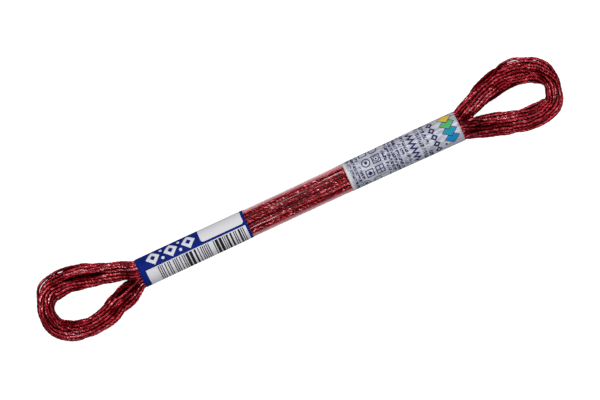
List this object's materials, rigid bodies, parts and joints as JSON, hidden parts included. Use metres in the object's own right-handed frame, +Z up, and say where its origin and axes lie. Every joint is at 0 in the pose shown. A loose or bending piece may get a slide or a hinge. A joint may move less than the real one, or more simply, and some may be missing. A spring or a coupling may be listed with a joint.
{
  "type": "skein of embroidery floss",
  "caption": "Skein of dark red metallic embroidery floss, held flat by a partly clear printed film sleeve that leaves an open loop of thread at each end.",
  "frame": {"origin": "middle of the sleeve's flat underside, on the surface the skein lies on", "axes": "+X along the sleeve towards its silver end, +Z up, +Y across the skein"},
  "size_m": [0.1505, 0.02, 0.007],
  "materials": {
    "metallic_floss": "glittering",
    "printed_film": "glossy",
    "clear_film": "glossy"
  },
  "bodies": {
    "root": {"floss_skein": "metallic_floss", "printed_sleeve": "printed_film"}
  },
  "joints": []
}
